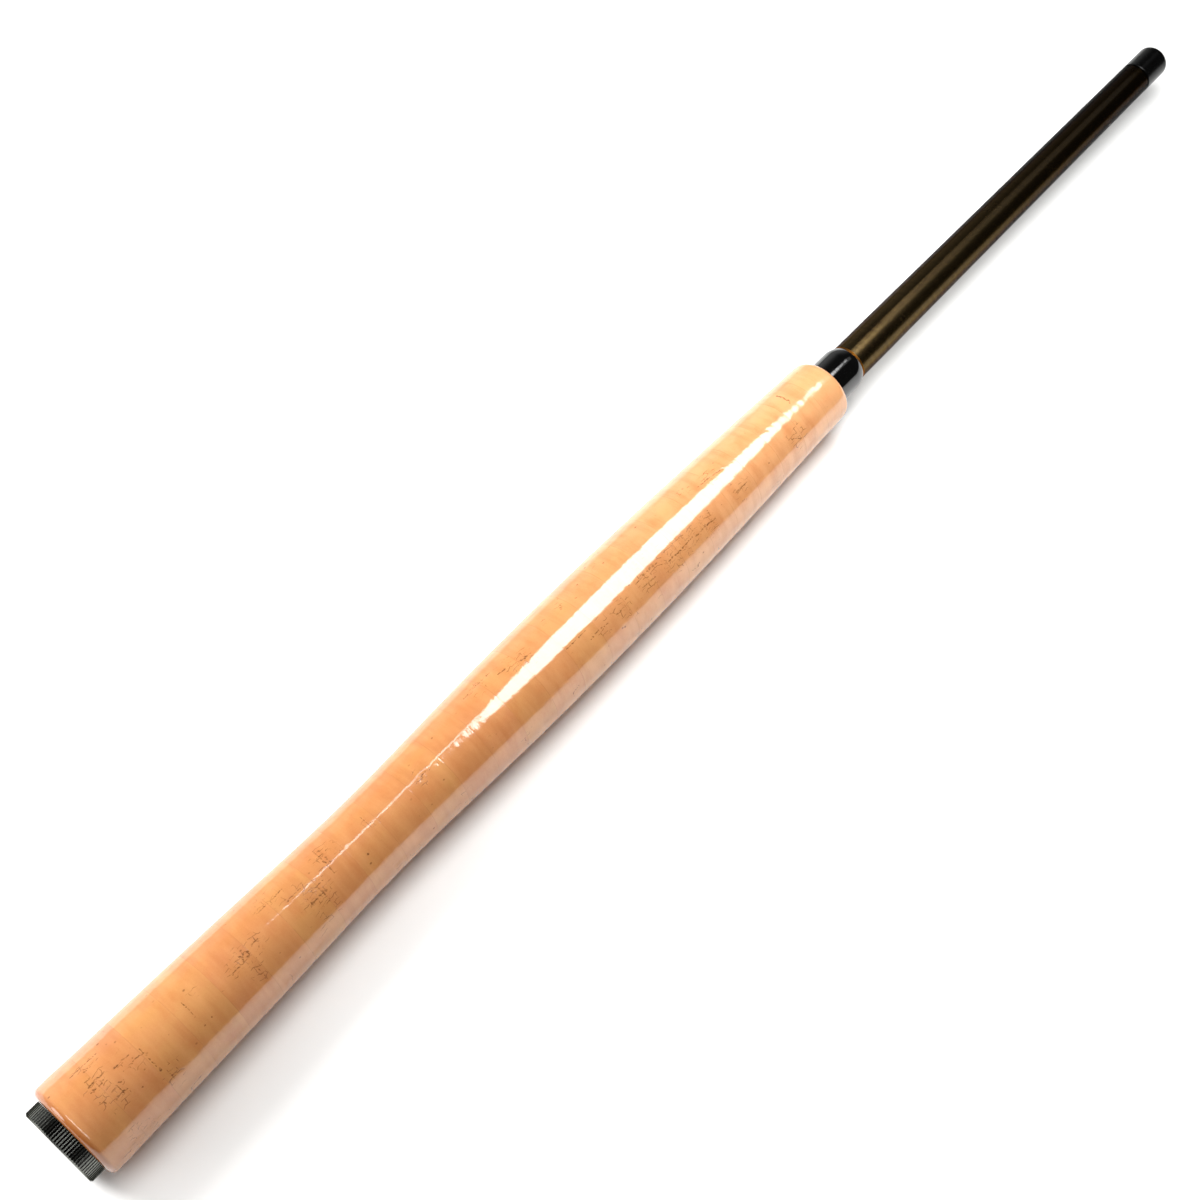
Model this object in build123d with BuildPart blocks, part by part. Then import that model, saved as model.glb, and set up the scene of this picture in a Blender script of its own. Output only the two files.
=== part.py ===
"""Collapsed tenkara rod: eight telescoping carbon sections, a cork grip, a tip plug and a butt cap.

All sizes are millimetres. The rod's axis is X: the outer face of the butt cap is at X = 0 with its
centre on the origin, and the tip plug points to +X. Z is up.
"""

import os

from build123d import *

os.makedirs("parts", exist_ok=True)

# Cork grip: the outline's stretches from the butt forwards, and the radius where each one ends
butt_flare_length = 70.0
waist_approach_length = 36.0
palm_rise_length = 44.0
palm_swell_length = 52.0
front_fall_length = 78.0
front_nose_length = 32.0
grip_butt_radius = 14.6
flare_end_radius = 13.0
waist_radius = 12.15
palm_rise_radius = 13.3
palm_swell_radius = 13.9
front_fall_radius = 12.1
grip_front_radius = 10.95
grip_butt_rounding = 2.0
grip_front_rounding = 2.4
cork_ring_count = 26

# Butt section of the blank
winding_length = 14.0
keeper_land_length = 16.0
bare_blank_length = 159.5
blank_wall = 0.85
blank_front_taper = 0.72
blank_grip_taper = 1.2

# Inner tube sections, largest first: wall, taper of the radius, and the overlap that stays inside
section_2_wall = 0.45
section_2_taper = 0.4
section_2_overlap = 38.0
section_3_wall = 0.4
section_3_taper = 0.35
section_3_overlap = 34.0
section_4_wall = 0.35
section_4_taper = 0.3
section_4_overlap = 30.0
section_5_wall = 0.3
section_5_taper = 0.3
section_5_overlap = 27.0
section_6_wall = 0.3
section_6_taper = 0.25
section_6_overlap = 24.0
section_7_wall = 0.25
section_7_taper = 0.25
section_7_overlap = 21.0
section_stagger = 1.0
section_fit = 0.02

# Solid tip section
tip_taper = 0.35
tip_overlap = 18.0
tip_end_radius = 0.5

# Collar on the tip, whose open end takes a braided cord
collar_wall = 0.2
collar_length = 8.0
collar_socket_depth = 3.0

# Winding and trim thread in front of the grip
winding_thickness = 1.05
winding_lip_thickness = 0.25
winding_shoulder_length = 3.6
trim_length = 1.0
trim_thickness = 0.12

# Tip plug
plug_head_length = 14.0
plug_head_rounding = 2.6
plug_shoulder_chamfer = 0.35
plug_seat_gap = 0.1
stem_length = 8.0
stem_rib_count = 3
stem_rib_length = 1.4
stem_rib_height = 0.5
stem_clearance = 0.05
stem_root_radius = 2.6
stem_root_length = 6.0
stem_rest_gap = 0.6

# Threaded insert glued into the butt end of the blank, and its thread
insert_length = 13.5
insert_wall = 0.85
thread_pitch = 1.25
thread_depth = 0.42
thread_clearance = 0.05
thread_start = 2.5
thread_turns = 5

# Butt cap
cap_head_radius = 11.9
cap_head_length = 4.5
cap_head_gap = 0.12
cap_edge_chamfer = 0.5
knurl_count = 84
knurl_groove_side = 0.42
spigot_length = 8.5
spigot_wall = 0.9
coin_slot_width = 1.8
coin_slot_depth = 1.1
coin_slot_length = 14.0

# Seal ring in the cap's face groove
seal_section_radius = 0.7
seal_groove_clearance = 0.06
seal_face_gap = 0.05

# Rubber pad that the collapsed sections stand on
pad_thickness = 2.4
pad_recess_depth = 1.4
section_rest_gap = 0.2


def turn(*outline):
    """Turn a closed outline of (x, radius) corners about the rod's axis, in the current part."""
    with BuildSketch(Plane.XZ) as half:
        with BuildLine():
            Polyline(*outline, close=True)
        make_face()
    revolve(half.sketch, axis=Axis.X)


def save(piece, name):
    """Label a finished piece and write it under its name."""
    piece.label = name
    export_step(piece, f"parts/{name}.step")


# Places along the rod
grip_start = cap_head_length
grip_length = (
    butt_flare_length
    + waist_approach_length
    + palm_rise_length
    + palm_swell_length
    + front_fall_length
    + front_nose_length
)
grip_end = grip_start + grip_length
ring_length = grip_length / cork_ring_count
land_start = grip_end + winding_length
land_end = land_start + keeper_land_length
mouth_x = land_end + bare_blank_length
spigot_end = cap_head_length + spigot_length
pad_face = spigot_end - pad_recess_depth + pad_thickness
section_base_x = pad_face + section_rest_gap
tip_limit_x = mouth_x - stem_length - stem_rest_gap

# Inner sections by number: 2 is the largest tube, and the solid tip is the last
section_walls = {
    2: section_2_wall,
    3: section_3_wall,
    4: section_4_wall,
    5: section_5_wall,
    6: section_6_wall,
    7: section_7_wall,
}
section_tapers = {
    2: section_2_taper,
    3: section_3_taper,
    4: section_4_taper,
    5: section_5_taper,
    6: section_6_taper,
    7: section_7_taper,
    8: tip_taper,
}
section_overlaps = {
    2: section_2_overlap,
    3: section_3_overlap,
    4: section_4_overlap,
    5: section_5_overlap,
    6: section_6_overlap,
    7: section_7_overlap,
    8: tip_overlap,
}
tubes = sorted(section_walls)
first_tube = min(tubes)
tip_number = max(section_tapers)

# Where each inner section's mouth stands when the rod is collapsed
mouth_places = {tip_number: tip_limit_x - collar_socket_depth}
for number in reversed(tubes):
    mouth_places[number] = mouth_places[number + 1] - section_stagger

# Radii, worked out from the tip outwards: each section passes through the mouth of the next
mouth_radii = {tip_number: tip_end_radius}
seat_radii = {tip_number: tip_end_radius + tip_taper}
for number in reversed(tubes):
    mouth_radii[number] = seat_radii[number + 1] + section_fit + section_walls[number]
    seat_radii[number] = mouth_radii[number] + section_tapers[number]
mouth_bore_radius = seat_radii[first_tube] + section_fit
blank_mouth_radius = mouth_bore_radius + blank_wall
land_radius = blank_mouth_radius + blank_front_taper
blank_butt_radius = land_radius + blank_grip_taper
blank_bore_at_butt = blank_butt_radius - blank_wall

# Each base flares with the bore it wedges into, over the length that stays inside
bore_slopes = {first_tube: blank_front_taper / bare_blank_length}
for number in tubes:
    taper_run = mouth_places[number] - section_base_x - section_overlaps[number]
    bore_slopes[number + 1] = section_tapers[number] / taper_run
base_radii = {}
for number, slope in bore_slopes.items():
    base_radii[number] = seat_radii[number] + slope * section_overlaps[number]

# Butt section: flared in the grip, parallel at the keeper land, then tapering to the mouth
blank_outer = [
    (grip_start, blank_butt_radius),
    (land_start, land_radius),
    (land_end, land_radius),
    (mouth_x, blank_mouth_radius),
]
blank_inner = [(x, radius - blank_wall) for x, radius in reversed(blank_outer)]
with BuildPart() as butt_section:
    turn(*blank_outer, *blank_inner)
save(butt_section.part, "butt_section")


def blank_radius_at(x):
    """Outer radius of the butt section at a place inside the grip or the winding."""
    along = (x - grip_start) / (land_start - grip_start)
    return blank_butt_radius + along * (land_radius - blank_butt_radius)


# Inner tube sections, largest first
for number in tubes:
    wall = section_walls[number]
    tube_outer = [
        (section_base_x, base_radii[number]),
        (section_base_x + section_overlaps[number], seat_radii[number]),
        (mouth_places[number], mouth_radii[number]),
    ]
    tube_inner = [(x, radius - wall) for x, radius in reversed(tube_outer)]
    with BuildPart() as tube_section:
        turn(*tube_outer, *tube_inner)
    save(tube_section.part, f"section_{number}")

# Solid tip section
tip_mouth_x = mouth_places[tip_number]
with BuildPart() as tip_section:
    turn(
        (section_base_x, 0),
        (section_base_x, base_radii[tip_number]),
        (section_base_x + tip_overlap, seat_radii[tip_number]),
        (tip_mouth_x, tip_end_radius),
        (tip_mouth_x, 0),
    )
save(tip_section.part, "tip_section")

# Collar over the end of the tip, with its open socket ahead of the tip
collar_end = tip_mouth_x + collar_socket_depth
collar_start = collar_end - collar_length
tip_slope = tip_taper / (tip_mouth_x - section_base_x - tip_overlap)
collar_back_bore = tip_end_radius + tip_slope * (tip_mouth_x - collar_start)
with BuildPart() as tip_collar:
    turn(
        (collar_start, collar_back_bore),
        (collar_start, collar_back_bore + collar_wall),
        (collar_end, collar_back_bore + collar_wall),
        (collar_end, tip_end_radius),
        (tip_mouth_x, tip_end_radius),
    )
save(tip_collar.part, "tip_collar")

# Cork grip: one outline, sliced into rings that are glued face to face on the blank
grip_stations = [(grip_start, grip_butt_radius)]
for length, radius in (
    (butt_flare_length, flare_end_radius),
    (waist_approach_length, waist_radius),
    (palm_rise_length, palm_rise_radius),
    (palm_swell_length, palm_swell_radius),
    (front_fall_length, front_fall_radius),
    (front_nose_length, grip_front_radius),
):
    grip_stations.append((grip_stations[-1][0] + length, radius))

butt_direction = (butt_flare_length, flare_end_radius - grip_butt_radius)
front_direction = (front_nose_length, grip_front_radius - front_fall_radius)

with BuildSketch() as grip_half:
    with BuildLine():
        Spline(*grip_stations, tangents=(butt_direction, front_direction))
        Line((grip_end, grip_front_radius), (grip_end, blank_radius_at(grip_end)))
        Line((grip_end, blank_radius_at(grip_end)), (grip_start, blank_butt_radius))
        Line((grip_start, blank_butt_radius), (grip_start, grip_butt_radius))
    make_face()
    butt_corners = grip_half.vertices().group_by(Axis.X)[0]
    fillet(butt_corners.sort_by(Axis.Y)[-1], grip_butt_rounding)
    front_corners = grip_half.vertices().group_by(Axis.X)[-1]
    fillet(front_corners.sort_by(Axis.Y)[-1], grip_front_rounding)

slice_height = 2 * max(radius for x, radius in grip_stations)
for index in range(cork_ring_count):
    slice_middle = grip_start + (index + 0.5) * ring_length
    with BuildPart() as cork_ring:
        with BuildSketch(Plane.XZ):
            add(grip_half.sketch)
            with Locations((slice_middle, slice_height / 2)):
                Rectangle(ring_length, slice_height, mode=Mode.INTERSECT)
        revolve(axis=Axis.X)
    save(cork_ring.part, f"cork_ring_{index + 1:02d}")

# Thread winding under black lacquer, with a rounded front shoulder
winding_front = land_start - trim_length
shoulder_start = winding_front - winding_shoulder_length
winding_top = blank_radius_at(grip_end) + winding_thickness
winding_lip = blank_radius_at(winding_front) + winding_lip_thickness
with BuildPart() as winding:
    with BuildSketch(Plane.XZ):
        with BuildLine():
            Line((grip_end, winding_top), (shoulder_start, winding_top))
            TangentArc((shoulder_start, winding_top), (winding_front, winding_lip), tangent=(1, 0))
            Line((winding_front, winding_lip), (winding_front, blank_radius_at(winding_front)))
            Line((winding_front, blank_radius_at(winding_front)), (grip_end, blank_radius_at(grip_end)))
            Line((grip_end, blank_radius_at(grip_end)), (grip_end, winding_top))
        make_face()
    revolve(axis=Axis.X)
save(winding.part, "winding")

# Trim thread at the front edge of the winding
with BuildPart() as trim_thread:
    turn(
        (winding_front, blank_radius_at(winding_front)),
        (winding_front, blank_radius_at(winding_front) + trim_thickness),
        (land_start, land_radius + trim_thickness),
        (land_start, land_radius),
    )
save(trim_thread.part, "trim_thread")

# Threads: a row of V grooves, the same in the insert's bore and on the cap's spigot
groove_places = []
for turn_number in range(thread_turns):
    groove_places.append(grip_start + thread_start + turn_number * thread_pitch)

# Threaded insert glued into the blank's butt end
insert_end = grip_start + insert_length
insert_bore_radius = blank_bore_at_butt - insert_wall
blank_bore_slope = blank_grip_taper / (land_start - grip_start)
insert_bore = [(grip_start, insert_bore_radius)]
for groove_x in groove_places:
    insert_bore.append((groove_x - thread_depth, insert_bore_radius))
    insert_bore.append((groove_x, insert_bore_radius + thread_depth))
    insert_bore.append((groove_x + thread_depth, insert_bore_radius))
insert_bore.append((insert_end, insert_bore_radius))
with BuildPart() as butt_insert:
    turn(
        *insert_bore,
        (insert_end, blank_bore_at_butt - blank_bore_slope * insert_length),
        (grip_start, blank_bore_at_butt),
    )
save(butt_insert.part, "butt_insert")

# Butt cap: a head with a seal groove in its face, and a threaded spigot with a recess for the pad
spigot_radius = insert_bore_radius - thread_clearance
pad_radius = spigot_radius - spigot_wall
pad_back = spigot_end - pad_recess_depth
cap_inner_face = cap_head_length - cap_head_gap
seal_room = seal_section_radius + seal_groove_clearance
seal_centre_x = grip_start - seal_face_gap - seal_section_radius
seal_centre_radius = spigot_radius + seal_room
seal_groove_back = seal_centre_x - seal_room
spigot_side = [(cap_inner_face, spigot_radius)]
for groove_x in groove_places:
    spigot_side.append((groove_x - thread_depth, spigot_radius))
    spigot_side.append((groove_x, spigot_radius - thread_depth))
    spigot_side.append((groove_x + thread_depth, spigot_radius))
with BuildPart() as butt_cap:
    turn(
        (0, 0),
        (0, cap_head_radius - cap_edge_chamfer),
        (cap_edge_chamfer, cap_head_radius),
        (cap_inner_face, cap_head_radius),
        (cap_inner_face, seal_centre_radius + seal_room),
        (seal_groove_back, seal_centre_radius + seal_room),
        (seal_groove_back, spigot_radius),
        *spigot_side,
        (spigot_end, spigot_radius),
        (spigot_end, pad_radius),
        (pad_back, pad_radius),
        (pad_back, 0),
    )
    with BuildSketch(Plane.YZ):
        with PolarLocations(cap_head_radius, knurl_count):
            Rectangle(knurl_groove_side, knurl_groove_side, rotation=45)
    extrude(amount=cap_inner_face, mode=Mode.SUBTRACT)
    with BuildSketch(Plane.YZ):
        SlotOverall(coin_slot_length, coin_slot_width)
    extrude(amount=coin_slot_depth, mode=Mode.SUBTRACT)
save(butt_cap.part, "butt_cap")

# Seal ring
with BuildPart() as seal_ring:
    with BuildSketch(Plane.XZ):
        with Locations((seal_centre_x, seal_centre_radius)):
            Circle(seal_section_radius)
    revolve(axis=Axis.X)
save(seal_ring.part, "seal_ring")

# Rubber pad in the spigot
with BuildPart() as cushion_pad:
    with BuildSketch(Plane.YZ.offset(pad_back)):
        Circle(pad_radius)
    extrude(amount=pad_thickness)
save(cushion_pad.part, "cushion_pad")

# Tip plug head: a rounded cylinder with a socket for the stem's root
head_start = mouth_x + plug_seat_gap
head_end = head_start + plug_head_length
with BuildPart() as plug_head:
    with BuildSketch(Plane.YZ.offset(head_start)):
        Circle(blank_mouth_radius)
    extrude(amount=plug_head_length)
    fillet(plug_head.edges().group_by(Axis.X)[-1], plug_head_rounding)
    chamfer(plug_head.edges().group_by(Axis.X)[0], plug_shoulder_chamfer)
    with BuildSketch(Plane.YZ.offset(head_start)):
        Circle(stem_root_radius)
    extrude(amount=stem_root_length, mode=Mode.SUBTRACT)
save(plug_head.part, "plug_head")

# Tip plug stem: a rubber core with ribs that grip the mouth, and a root pressed into the head
rib_radius = mouth_bore_radius - stem_clearance
rib_spacing = stem_length / stem_rib_count
stem_start = head_start - stem_length
with BuildPart() as plug_stem:
    with BuildSketch(Plane.YZ.offset(stem_start)):
        Circle(rib_radius - stem_rib_height)
    extrude(amount=stem_length)
    for rib_number in range(stem_rib_count):
        rib_middle = stem_start + (rib_number + 0.5) * rib_spacing
        with BuildSketch(Plane.YZ.offset(rib_middle - stem_rib_length / 2)):
            Circle(rib_radius)
        extrude(amount=stem_rib_length)
    with BuildSketch(Plane.YZ.offset(head_start)):
        Circle(stem_root_radius)
    extrude(amount=stem_root_length)
save(plug_stem.part, "plug_stem")

# How far each section slides before its base wedges in the mouth around it
open_length = collar_end
for number, overlap in section_overlaps.items():
    outer_mouth = mouth_x if number == first_tube else mouth_places[number - 1]
    travel = outer_mouth - overlap - section_base_x
    open_length += travel
    print(f"section {number}: slides {travel:.2f}")
print(f"closed length {head_end:.2f}, open length {open_length:.2f}")
print(f"blank radius at the mouth {blank_mouth_radius:.2f}, at the land {land_radius:.2f}")
print(f"keeper land from {land_start:.2f} to {land_end:.2f}, floor at {-grip_butt_radius:.2f}")
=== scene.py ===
"""Looks of a collapsed tenkara rod.

A varnished cork grip on a lacquered carbon blank, with a thread winding, a knurled butt cap and a
push-in tip plug. Seven more sections slide inside the blank. It lies on a pale floor under soft
studio light.
"""

import math

import bpy
import numpy as np
from bpy.props import FloatProperty, FloatVectorProperty, IntProperty, PointerProperty
from mathutils import Matrix, Vector


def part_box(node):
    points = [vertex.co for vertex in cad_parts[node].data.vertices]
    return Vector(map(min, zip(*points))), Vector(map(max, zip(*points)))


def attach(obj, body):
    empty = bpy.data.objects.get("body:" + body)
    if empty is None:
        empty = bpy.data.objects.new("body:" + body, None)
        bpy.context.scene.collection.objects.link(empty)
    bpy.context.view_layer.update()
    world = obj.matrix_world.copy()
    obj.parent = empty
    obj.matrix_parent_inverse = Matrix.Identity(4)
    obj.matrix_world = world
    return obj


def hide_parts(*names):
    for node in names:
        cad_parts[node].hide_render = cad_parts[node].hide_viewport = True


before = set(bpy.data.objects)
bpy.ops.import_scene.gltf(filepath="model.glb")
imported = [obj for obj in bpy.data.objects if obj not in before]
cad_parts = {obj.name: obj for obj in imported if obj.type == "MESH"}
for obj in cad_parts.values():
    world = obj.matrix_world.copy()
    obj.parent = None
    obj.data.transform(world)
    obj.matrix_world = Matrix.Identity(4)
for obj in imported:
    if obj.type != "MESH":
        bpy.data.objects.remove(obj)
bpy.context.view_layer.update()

bl_info = {
    "name": "Collapsed Tenkara Rod",
    "version": (1, 0, 0),
    "blender": (4, 5, 0),
    "location": "View3D > Sidebar > Rod",
    "description": "Dresses the packed rod with cork, lacquer, thread and metal, and sets up its stage",
    "category": "Add Mesh",
}

MM = 0.001
ring_names = sorted(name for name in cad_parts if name.startswith("cork_ring_"))
tube_names = sorted(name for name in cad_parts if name.startswith("section_"))
grip_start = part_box(ring_names[0])[0].x
grip_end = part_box(ring_names[-1])[1].x
ring_length = (grip_end - grip_start) / len(ring_names)
grip_butt_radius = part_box(ring_names[0])[1].z
blank_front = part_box("butt_section")[1].x
tube_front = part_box(tube_names[-1])[1].x

# Clusters of fine cracks in the cork: place along the rod and reach in millimetres, angle from the
# top of the grip towards its near side in degrees, and strength
CRACK_CLUSTERS = (
    (16.5, -19, 4.5, 0.5),
    (16.6, 3, 5, 0.7),
    (24, 5, 4, 0.5),
    (17.5, 25, 5, 0.8),
    (27, 13, 4, 0.4),
    (31.6, 54, 5, 0.6),
    (59.1, 20, 3.5, 0.8),
    (62.8, 17, 4.5, 0.9),
    (67.3, 16, 4, 0.7),
    (63.4, 42, 4, 0.5),
    (76.5, -11, 6, 0.35),
    (82.7, 5, 4, 0.4),
    (87.1, 24, 6, 0.9),
    (95.6, -1, 6, 0.7),
    (86.8, 49, 5, 0.5),
    (111.4, 5, 4, 0.35),
    (129.7, 12, 3.5, 0.8),
    (159.4, -22, 5, 0.4),
    (170.3, -9, 5, 0.6),
    (174.5, -2, 4, 0.9),
    (193.7, -15, 3.5, 0.5),
    (197.1, 37, 5, 0.6),
    (206.6, 40, 4.5, 0.7),
    (219.9, 34, 6, 0.8),
    (229.2, 40, 6, 0.9),
    (237.5, 40, 6, 0.9),
    (246, 42, 5.5, 0.9),
    (249.5, -17, 3.5, 0.5),
    (258.1, 1, 4.5, 0.7),
    (263.2, 40, 5, 0.7),
    (290.6, 47, 6, 0.6),
)

# Cracks drawn one by one: width and the corners that the crack passes, each with its place and
# angle as above. A crack with one corner is a pit.
DRAWN_CRACKS = (
    (0.75, ((12.8, -23), (17.2, -24), (21.6, -23))),
    (0.7, ((16, -16), (21.1, -17))),
    (0.9, ((14.1, 0), (17.1, -1), (20.3, 1))),
    (0.8, ((13.9, 6), (16.2, 7), (18.4, 5))),
    (0.7, ((14.8, -3), (14.9, 7))),
    (0.7, ((17.3, 0), (17.4, 7))),
    (0.8, ((21.4, 4), (24, 4), (26.5, 5))),
    (0.8, ((17.8, 19), (19.8, 18), (21.7, 20))),
    (0.9, ((16.9, 28), (18.9, 27), (21, 28))),
    (0.7, ((14.8, 18), (14.8, 27))),
    (0.8, ((19.4, 20), (19.5, 30))),
    (0.7, ((24.4, 13), (27, 13), (29.3, 14))),
    (0.7, ((29.1, 8), (29.2, 21), (29.1, 37))),
    (0.7, ((30.2, 52), (32, 53), (33.8, 58))),
    (0.6, ((30.1, 43), (30.3, 59))),
    (0.6, ((43.8, 4), (44, 16), (43.6, 27))),
    (0.9, ((57.6, 21), (58.8, 20), (60.3, 21))),
    (1.3, ((61.6, 21), (62.3, 16), (63.3, 12), (64.3, 15), (63.9, 19), (62.8, 20))),
    (1, ((62.3, 16), (61.6, 11))),
    (0.8, ((65.8, 14), (67.3, 12), (68.6, 13))),
    (0.8, ((66.3, 21), (67.6, 19))),
    (0.7, ((63.1, 32), (63.3, 42), (63.3, 55))),
    (0.7, ((72.4, -10), (76.7, -10), (81.7, -11))),
    (0.7, ((79.6, 6), (82.7, 5), (85.3, 5))),
    (1, ((84, 29), (86.8, 28), (90, 29))),
    (0.9, ((86.3, 17), (88.9, 17), (91, 17))),
    (0.8, ((84.4, 20), (84.6, 31))),
    (0.8, ((88.4, 18), (88.7, 33))),
    (0.8, ((94.8, -21), (94.6, -1), (94.3, 21))),
    (0.7, ((93.4, -7), (96, -8), (98.4, -7))),
    (0.7, ((95.9, -15), (95.6, 9))),
    (0.6, ((110, -7), (109.9, 12))),
    (1, ((128.5, 15), (129.7, 11), (131.1, 12))),
    (0.7, ((129.2, 9), (129.1, 16))),
    (0.7, ((154.2, -22), (159.5, -23), (165.3, -22))),
    (0.8, ((165.9, -11), (170.3, -9))),
    (1, ((172.8, -4), (174.5, -1), (175.9, 0))),
    (0.8, ((174.9, -11), (174.7, 3))),
    (0.8, ((193.7, -17), (194.1, -12))),
    (0.8, ((198.8, -12), (199.3, -9))),
    (0.7, ((184.9, 27), (189.2, 27), (193.5, 27))),
    (0.8, ((192.8, 39), (196.5, 38), (200.3, 40))),
    (0.8, ((204, 40), (207.5, 40))),
    (0.8, ((214.9, 30), (219.4, 29), (224.7, 30))),
    (0.8, ((215.8, 40), (221.7, 41))),
    (1, ((227.2, 39), (232.9, 40), (239.5, 39))),
    (1, ((240.2, 42), (245, 41), (249.5, 44))),
    (0.8, ((252.7, -3), (258.2, -1), (263.2, 3))),
    (0.8, ((260.4, 39), (266, 40))),
    (0.7, ((288.2, 43), (292.1, 54))),
    (1.3, ((297.5, -26), (297.8, -16), (297.6, -9), (297.9, -2), (297.1, 4))),
    (0.8, ((5.3, 28),)),
    (0.9, ((23.4, 38),)),
    (1.2, ((29.2, 39),)),
    (0.9, ((44.1, 39),)),
    (0.9, ((46.7, 38),)),
    (1.1, ((104.2, 34),)),
    (0.8, ((26.5, 10),)),
    (0.8, ((13.9, 19),)),
    (1.2, ((204.1, 60),)),
    (0.9, ((216.8, -42),)),
)

# How many marks have their places left to chance, and the angles in degrees between which the
# random cracks and clusters lie
RANDOM_PITS = 110
RANDOM_CRACKS = 60
RANDOM_CLUSTERS = 60
UNSEEN_SIDE = (75, 300)

# Area lights: shape, size, place and the point that each one faces, in metres
AREA_LIGHTS = {
    "top_light": ("ELLIPSE", (0.31, 0.235), (0.37, -0.032, 0.3), (0.37, -0.032, 0)),
    "tube_light": ("RECTANGLE", (0.08, 0.012), (0.185, 0.02, 0.3), (0.185, 0.02, 0)),
    "key_light": ("ELLIPSE", (0.35, 0.35), (-0.15, 0.5, 0.45), (0.05, 0, 0)),
    "butt_light": ("ELLIPSE", (0.22, 0.22), (-0.33, 0.2, 0.16), (0.007, 0.002, 0.014)),
    "tip_light": ("RECTANGLE", (0.3, 0.1), (0.67, -0.04, 0.3), (0.67, -0.04, 0)),
    "cap_light": ("RECTANGLE", (0.03, 0.44), (-0.03, -0.14, 0.3), (-0.03, -0.14, 0)),
}


def colour_property(name, description, default):
    """A colour that the user may change."""
    return FloatVectorProperty(
        name=name, description=description, subtype="COLOR", min=0, max=1, default=default
    )


def power_property(name, description, default):
    """The power of a light, in watts."""
    return FloatProperty(name=name, description=description, unit="POWER", default=default)


class CorkLook(bpy.types.PropertyGroup):
    """Sizes and colours of the cork grip."""

    colour: colour_property(
        name="Cork",
        description="Colour of clean cork under the varnish",
        default=(0.545, 0.232, 0.084),
    )
    pink_colour: colour_property(
        name="Pink Cork",
        description="Colour of the redder rings",
        default=(0.542, 0.217, 0.087),
    )
    yellow_colour: colour_property(
        name="Yellow Cork",
        description="Colour of the yellower rings",
        default=(0.548, 0.252, 0.084),
    )
    front_colour: colour_property(
        name="Front Cork",
        description="Colour of the paler cork next to the winding",
        default=(0.64, 0.315, 0.137),
    )
    crack_colour: colour_property(
        name="Cracks",
        description="Colour of the filled cracks and pits",
        default=(0.12, 0.042, 0.014),
    )
    spacing: FloatProperty(
        name="Mesh Spacing",
        description="Distance between the mesh points of the turned surface",
        unit="LENGTH",
        default=0.0004,
    )
    pit_depth: FloatProperty(
        name="Pit Depth",
        description="Depth of the largest pits",
        unit="LENGTH",
        default=0.00004,
    )
    joint_depth: FloatProperty(
        name="Joint Depth",
        description="How far the varnish sinks at the glued joint between two rings",
        unit="LENGTH",
        default=0.000008,
    )
    seed: IntProperty(
        name="Seed",
        description="Choice of random cracks and pits",
        default=12,
    )


class BlankLook(bpy.types.PropertyGroup):
    """Sizes and colours of the blank, its winding and the sections inside it."""

    lacquer_colour: colour_property(
        name="Lacquer",
        description="Colour of the blank's lacquer next to the grip",
        default=(0.100, 0.068, 0.029),
    )
    # Lacquer colour at the mouth, darkened partly as painted shade
    tip_lacquer_and_shade: colour_property(
        name="Lacquer at the Mouth",
        description="Colour of the blank's lacquer next to the tip plug",
        default=(0.036, 0.0225, 0.009),
    )
    carbon_colour: colour_property(
        name="Carbon",
        description="Colour of the ground carbon of the inner sections",
        default=(0.03, 0.03, 0.032),
    )
    winding_colour: colour_property(
        name="Winding",
        description="Colour of the lacquered thread winding",
        default=(0.0007, 0.0007, 0.0007),
    )
    copper_colour: colour_property(
        name="Trim Thread",
        description="Colour of the copper trim thread",
        default=(0.24, 0.095, 0.014),
    )
    wraps: IntProperty(
        name="Trim Wraps",
        description="Turns of trim thread side by side",
        default=4,
    )


class FittingsLook(bpy.types.PropertyGroup):
    """Colours of the metal, plastic and rubber fittings."""

    anodised_colour: colour_property(
        name="Anodised Metal",
        description="Colour of the butt cap",
        default=(0.215, 0.220, 0.200),
    )
    aluminium_colour: colour_property(
        name="Aluminium",
        description="Colour of the turned insert",
        default=(0.62, 0.62, 0.62),
    )
    brass_colour: colour_property(
        name="Brass",
        description="Colour of the tip collar",
        default=(0.72, 0.50, 0.20),
    )
    rubber_colour: colour_property(
        name="Rubber",
        description="Colour of the seal ring, the pad and the plug's stem",
        default=(0.018, 0.018, 0.018),
    )
    plug_colour: colour_property(
        name="Plug",
        description="Colour of the tip plug's head",
        default=(0.0008, 0.0008, 0.0008),
    )


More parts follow.
